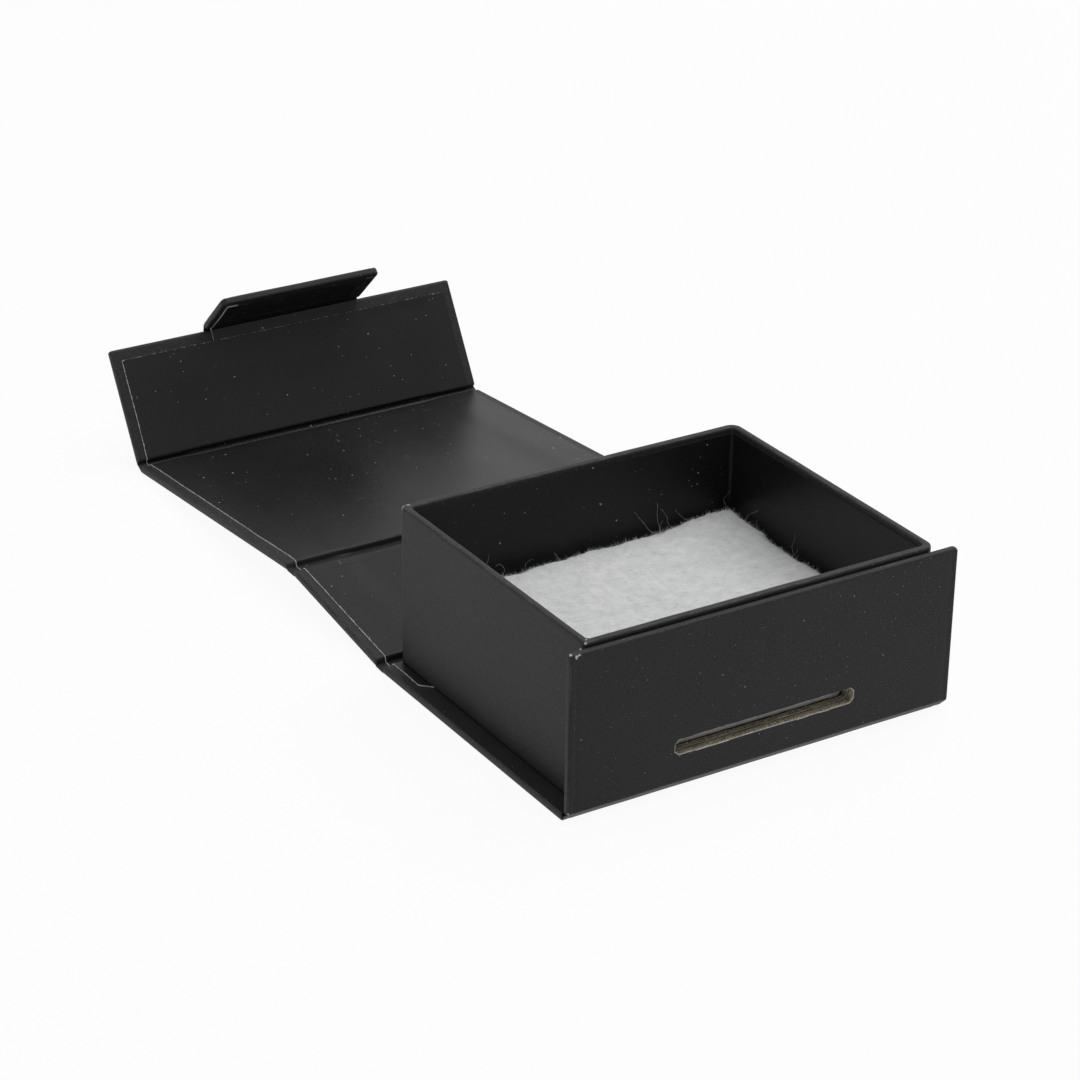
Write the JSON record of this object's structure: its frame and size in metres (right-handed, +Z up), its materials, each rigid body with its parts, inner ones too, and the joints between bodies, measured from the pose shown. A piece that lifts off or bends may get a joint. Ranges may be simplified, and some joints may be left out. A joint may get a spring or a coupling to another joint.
{
  "type": "hinged gift box",
  "caption": "Rigid paperboard gift box with a wrap-over cover: tray on a base, slotted upright front, hinged spine, lid, flap and tuck-in tab, and a loose wadding pad.",
  "frame": {"origin": "centre of the base panel's underside, on the table", "axes": "+Z up from the table, +Y from the front panel to the back, along the opened cover, +X along the width, to the right as seen from the front"},
  "size_m": [0.085, 0.1883, 0.0348],
  "materials": {
    "greyboard": "raw grey-brown solid board, pressed fibres",
    "black_cover_paper": "satin black paper with a fine grain",
    "black_liner_paper": "smooth satin black paper with white cut edges",
    "stay_tape": "brown gummed paper tape",
    "dried_glue": "dried white glue film",
    "white_wadding": "soft white fibre wadding"
  },
  "bodies": {
    "tray_and_base": {"base_board": "greyboard", "base_wrap": "black_cover_paper", "base_liner": "black_liner_paper", "front_board": "greyboard", "front_wrap": "black_cover_paper", "corner_stays": "stay_tape", "tray_left_board": "greyboard", "tray_right_board": "greyboard", "tray_front_board": "greyboard", "tray_back_board": "greyboard", "tray_floor_board": "greyboard", "tray_wrap": "black_cover_paper", "tray_lining": "black_liner_paper", "base_glue": "dried_glue", "front_glue": "dried_glue"},
    "spine_panel": {"spine_board": "greyboard", "spine_wrap": "black_cover_paper", "spine_liner": "black_liner_paper"},
    "lid_panel": {"lid_board": "greyboard", "lid_wrap": "black_cover_paper", "lid_liner": "black_liner_paper"},
    "closing_flap": {"flap_board": "greyboard", "flap_wrap": "black_cover_paper", "flap_liner": "black_liner_paper"},
    "tuck_tab": {"tab_board": "greyboard", "tab_wrap": "black_cover_paper", "tab_liner": "black_liner_paper"},
    "loose_pad": {"wadding_pad": "white_wadding"}
  },
  "joints": [
    {"name": "spine_hinge", "type": "hinge", "parent": "tray_and_base", "child": "spine_panel", "pos_m": [0, 0.03364, 0.00071], "axis": [-1, 0, 0], "range_deg": [-81.3, 0]},
    {"name": "lid_hinge", "type": "hinge", "parent": "spine_panel", "child": "lid_panel", "pos_m": [0, 0.06974, 0.00611], "axis": [-1, 0, 0], "range_deg": [-103.24, 0]},
    {"name": "flap_hinge", "type": "hinge", "parent": "lid_panel", "child": "closing_flap", "pos_m": [0, 0.13957, 0.00099], "axis": [-1, 0, 0], "range_deg": [-25.76, 59]},
    {"name": "tab_hinge", "type": "hinge", "parent": "closing_flap", "child": "tuck_tab", "pos_m": [0, 0.15327, 0.02402], "axis": [-1, 0, 0], "range_deg": [-13.7, 76]},
    {"name": "pad_lift", "type": "slide", "parent": "tray_and_base", "child": "loose_pad", "axis": [0, 0, 1], "range_m": [0, 0.04]}
  ]
}
